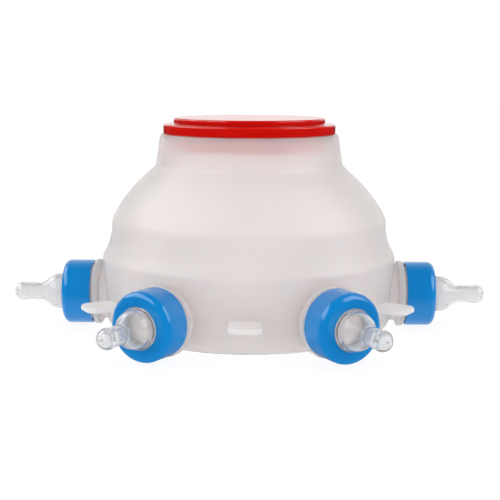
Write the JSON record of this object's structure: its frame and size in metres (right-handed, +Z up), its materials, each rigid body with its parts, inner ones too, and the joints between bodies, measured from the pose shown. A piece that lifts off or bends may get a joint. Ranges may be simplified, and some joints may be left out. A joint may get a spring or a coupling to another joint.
{
  "type": "multi-teat nursing feeder",
  "caption": "Low frosted dome milk vessel with a push-in lid, screw rings on level side necks and clear teats all round, so that a litter suckles together.",
  "frame": {"origin": "centre of the flat standing ring under the vessel, at the surface it stands on", "axes": "+Z up through the lid, +X out along the axis of teat_1; the picture looks along +Y"},
  "size_m": [0.2976, 0.2592, 0.1312],
  "materials": {
    "frosted_vessel": "frosted translucent polyethylene",
    "red_lid": "glossy",
    "white_gasket": "soft matt silicone",
    "blue_ring": "glossy",
    "clear_teat": "clear silicone"
  },
  "bodies": {
    "bowl": {"bowl": "frosted_vessel"},
    "lid": {"lid": "red_lid", "lid_gasket": "white_gasket"},
    "teat_1": {"teat_1": "clear_teat"},
    "teat_2": {"teat_2": "clear_teat"},
    "teat_3": {"teat_3": "clear_teat"},
    "teat_4": {"teat_4": "clear_teat"},
    "teat_5": {"teat_5": "clear_teat"},
    "teat_6": {"teat_6": "clear_teat"},
    "collar_1": {"collar_1": "blue_ring"},
    "collar_2": {"collar_2": "blue_ring"},
    "collar_3": {"collar_3": "blue_ring"},
    "collar_4": {"collar_4": "blue_ring"},
    "collar_5": {"collar_5": "blue_ring"},
    "collar_6": {"collar_6": "blue_ring"}
  },
  "joints": [
    {"name": "lid_lift", "type": "slide", "parent": "bowl", "child": "lid", "axis": [0, 0, 1], "range_m": [0, 0.06]},
    {"name": "teat_1_draw", "type": "slide", "parent": "bowl", "child": "teat_1", "axis": [1, 0, 0], "range_m": [0, 0.0147]},
    {"name": "teat_2_draw", "type": "slide", "parent": "bowl", "child": "teat_2", "axis": [0.5, 0.866, 0], "range_m": [0, 0.0147]},
    {"name": "teat_3_draw", "type": "slide", "parent": "bowl", "child": "teat_3", "axis": [-0.5, 0.866, 0], "range_m": [0, 0.0147]},
    {"name": "teat_4_draw", "type": "slide", "parent": "bowl", "child": "teat_4", "axis": [-1, 0, 0], "range_m": [0, 0.0147]},
    {"name": "teat_5_draw", "type": "slide", "parent": "bowl", "child": "teat_5", "axis": [-0.5, -0.866, 0], "range_m": [0, 0.0147]},
    {"name": "teat_6_draw", "type": "slide", "parent": "bowl", "child": "teat_6", "axis": [0.5, -0.866, 0], "range_m": [0, 0.0147]},
    {"name": "collar_1_turn", "type": "hinge", "parent": "teat_1", "child": "collar_1", "pos_m": [0.1075, 0, 0.021], "axis": [1, 0, 0], "range_deg": [0, 1260]},
    {"name": "collar_2_turn", "type": "hinge", "parent": "teat_2", "child": "collar_2", "pos_m": [0.05375, 0.0931, 0.021], "axis": [0.5, 0.866, 0], "range_deg": [0, 1260]},
    {"name": "collar_3_turn", "type": "hinge", "parent": "teat_3", "child": "collar_3", "pos_m": [-0.05375, 0.0931, 0.021], "axis": [-0.5, 0.866, 0], "range_deg": [0, 1260]},
    {"name": "collar_4_turn", "type": "hinge", "parent": "teat_4", "child": "collar_4", "pos_m": [-0.1075, 0, 0.021], "axis": [-1, 0, 0], "range_deg": [0, 1260]},
    {"name": "collar_5_turn", "type": "hinge", "parent": "teat_5", "child": "collar_5", "pos_m": [-0.05375, -0.0931, 0.021], "axis": [-0.5, -0.866, 0], "range_deg": [0, 1260]},
    {"name": "collar_6_turn", "type": "hinge", "parent": "teat_6", "child": "collar_6", "pos_m": [0.05375, -0.0931, 0.021], "axis": [0.5, -0.866, 0], "range_deg": [0, 1260]}
  ],
  "couplings": [
    {"joint": "collar_1_turn", "follows": "teat_1_draw", "rad_per_m": 1496},
    {"joint": "collar_2_turn", "follows": "teat_2_draw", "rad_per_m": 1496},
    {"joint": "collar_3_turn", "follows": "teat_3_draw", "rad_per_m": 1496},
    {"joint": "collar_4_turn", "follows": "teat_4_draw", "rad_per_m": 1496},
    {"joint": "collar_5_turn", "follows": "teat_5_draw", "rad_per_m": 1496},
    {"joint": "collar_6_turn", "follows": "teat_6_draw", "rad_per_m": 1496}
  ]
}
